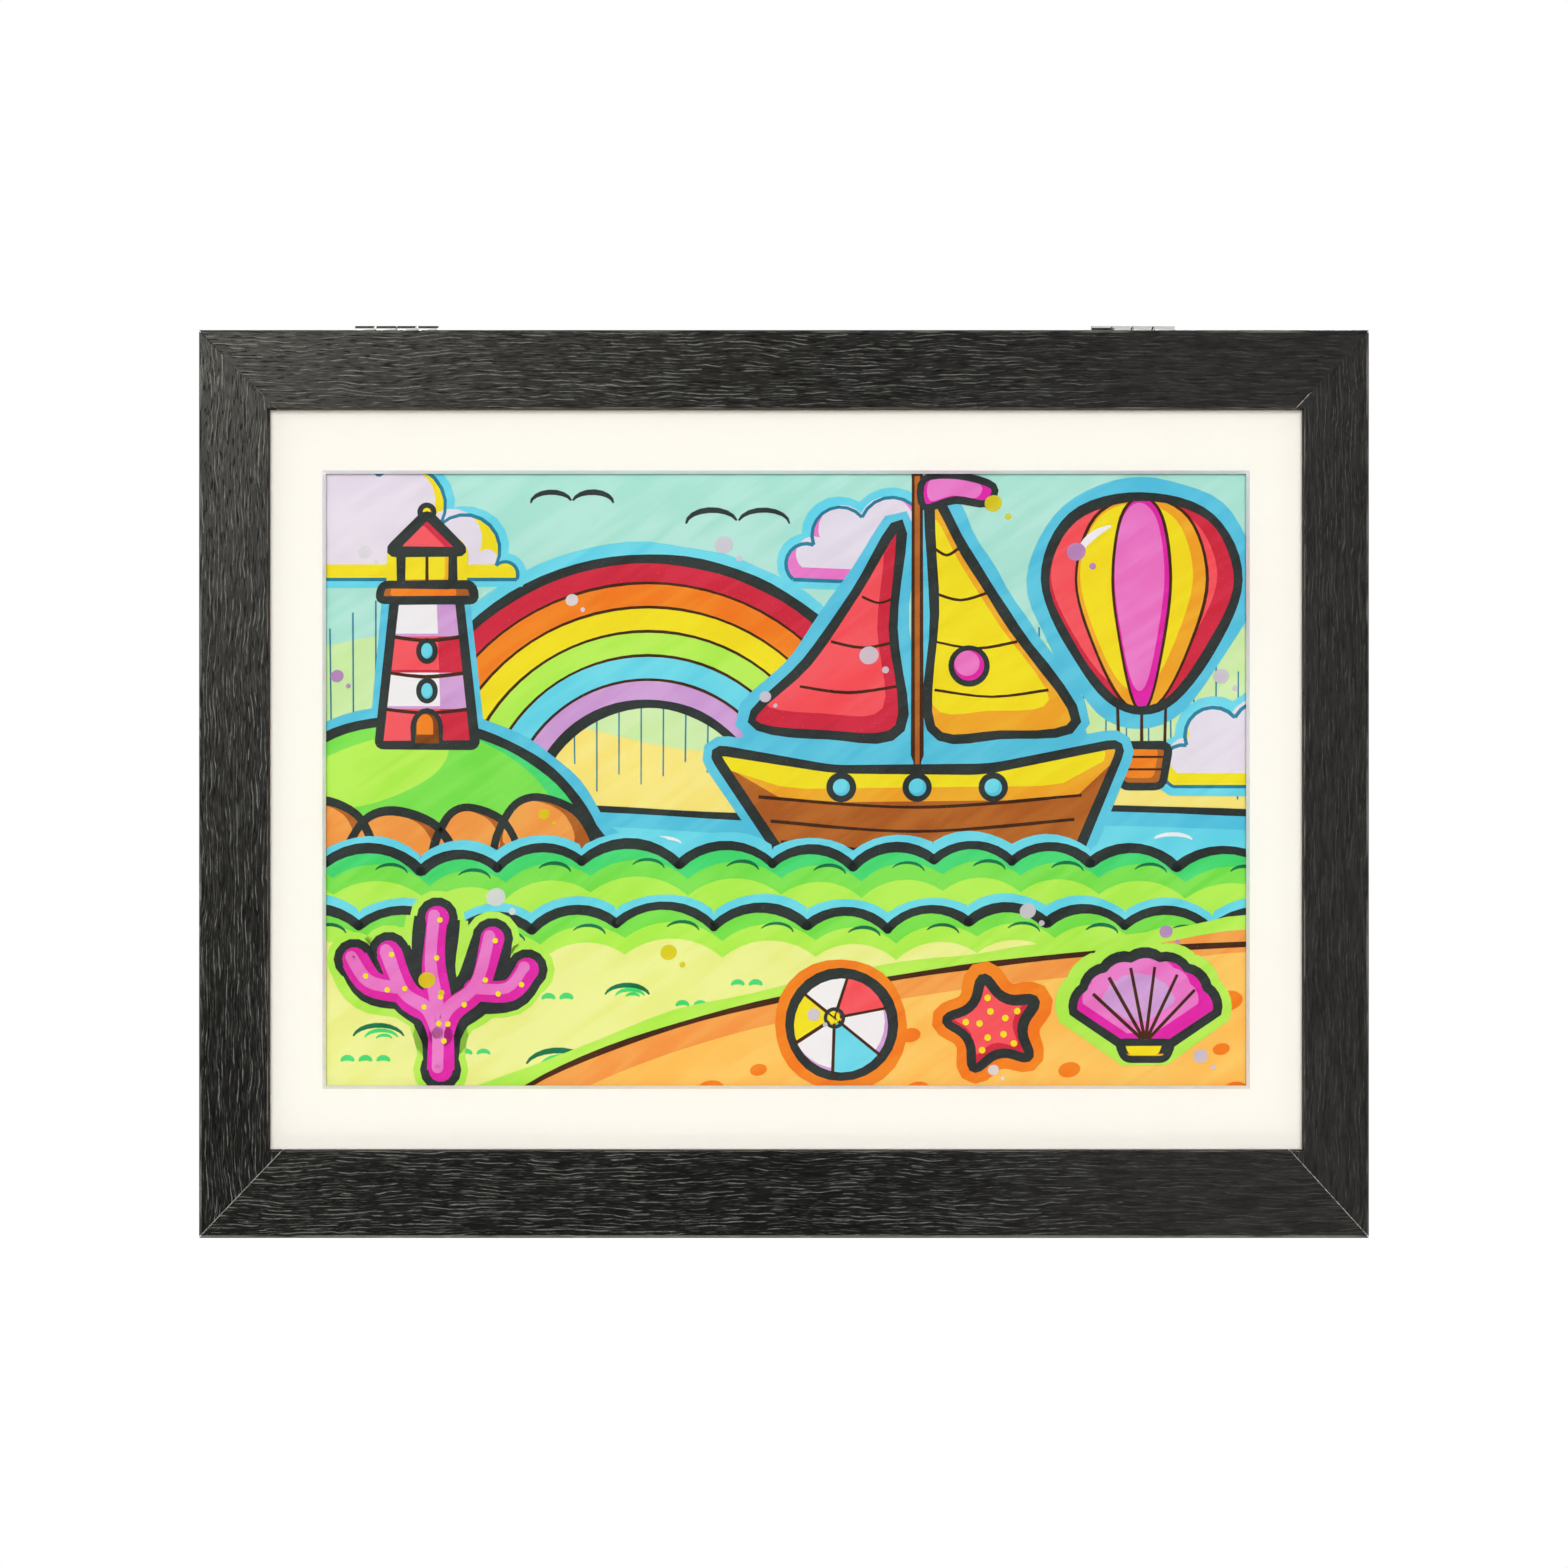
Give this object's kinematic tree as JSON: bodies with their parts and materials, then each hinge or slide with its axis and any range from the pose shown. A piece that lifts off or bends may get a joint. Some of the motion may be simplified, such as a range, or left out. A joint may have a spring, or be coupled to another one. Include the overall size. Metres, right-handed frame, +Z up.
{
  "type": "art frame",
  "caption": "Front-opening wall frame: a mitred door with clear sheet and mat, hinged along the top of a shallow box that stores children's A4 pictures.",
  "frame": {"origin": "centre of the frame's outline on the wall plane, at the back panel's rear face", "axes": "+X to the right and +Z up as seen by someone facing the frame, +Y into the wall"},
  "size_m": [0.335, 0.0304, 0.2626],
  "materials": {
    "black_foil": "embossed wood-grain foil on fibreboard",
    "clear_acrylic": "clear",
    "cream_board": "matte",
    "white_paper": "matte",
    "brown_board": "raw hardboard",
    "bright_steel": "nickel plated",
    "magnet_metal": "plated",
    "black_elastic": "woven elastic"
  },
  "bodies": {
    "back_box": {"box_top_rail": "black_foil", "box_bottom_rail": "black_foil", "box_left_rail": "black_foil", "box_right_rail": "black_foil", "back_panel": "brown_board", "box_corner_nail_bottom_left": "bright_steel", "box_corner_nail_bottom_right": "bright_steel", "box_corner_nail_top_left": "bright_steel", "box_corner_nail_top_right": "bright_steel", "magnet_left": "magnet_metal", "magnet_right": "magnet_metal", "box_hinge_leaf_left": "bright_steel", "box_hinge_leaf_right": "bright_steel", "hinge_pin_left": "bright_steel", "hinge_pin_right": "bright_steel", "box_hinge_screw_left_1": "bright_steel", "box_hinge_screw_left_2": "bright_steel", "box_hinge_screw_right_1": "bright_steel", "box_hinge_screw_right_2": "bright_steel", "panel_screw_bottom_left": "bright_steel", "panel_screw_bottom_right": "bright_steel", "panel_screw_top_left": "bright_steel", "panel_screw_top_right": "bright_steel", "wall_hanger": "bright_steel", "hanger_nail_left": "bright_steel", "hanger_nail_right": "bright_steel", "artwork_sheet": "white_paper", "stored_sheets": "white_paper", "elastic_band_left": "black_elastic", "elastic_band_right": "black_elastic"},
    "front_door": {"door_top_rail": "black_foil", "door_bottom_rail": "black_foil", "door_left_stile": "black_foil", "door_right_stile": "black_foil", "glazing_sheet": "clear_acrylic", "mat_board": "cream_board", "point_top_left": "bright_steel", "point_top_right": "bright_steel", "point_bottom_left": "bright_steel", "point_bottom_right": "bright_steel", "point_left": "bright_steel", "point_right": "bright_steel", "door_corner_nail_bottom_left": "bright_steel", "door_corner_nail_bottom_right": "bright_steel", "door_corner_nail_top_left": "bright_steel", "door_corner_nail_top_right": "bright_steel", "strike_left": "bright_steel", "strike_right": "bright_steel", "door_hinge_leaf_left": "bright_steel", "door_hinge_leaf_right": "bright_steel", "door_hinge_screw_left_1": "bright_steel", "door_hinge_screw_left_2": "bright_steel", "door_hinge_screw_right_1": "bright_steel", "door_hinge_screw_right_2": "bright_steel"}
  },
  "joints": [
    {"name": "door_hinge", "type": "hinge", "parent": "back_box", "child": "front_door", "pos_m": [0, -0.0202, 0.13105], "axis": [-1, 0, 0], "range_deg": [0, 180]}
  ]
}
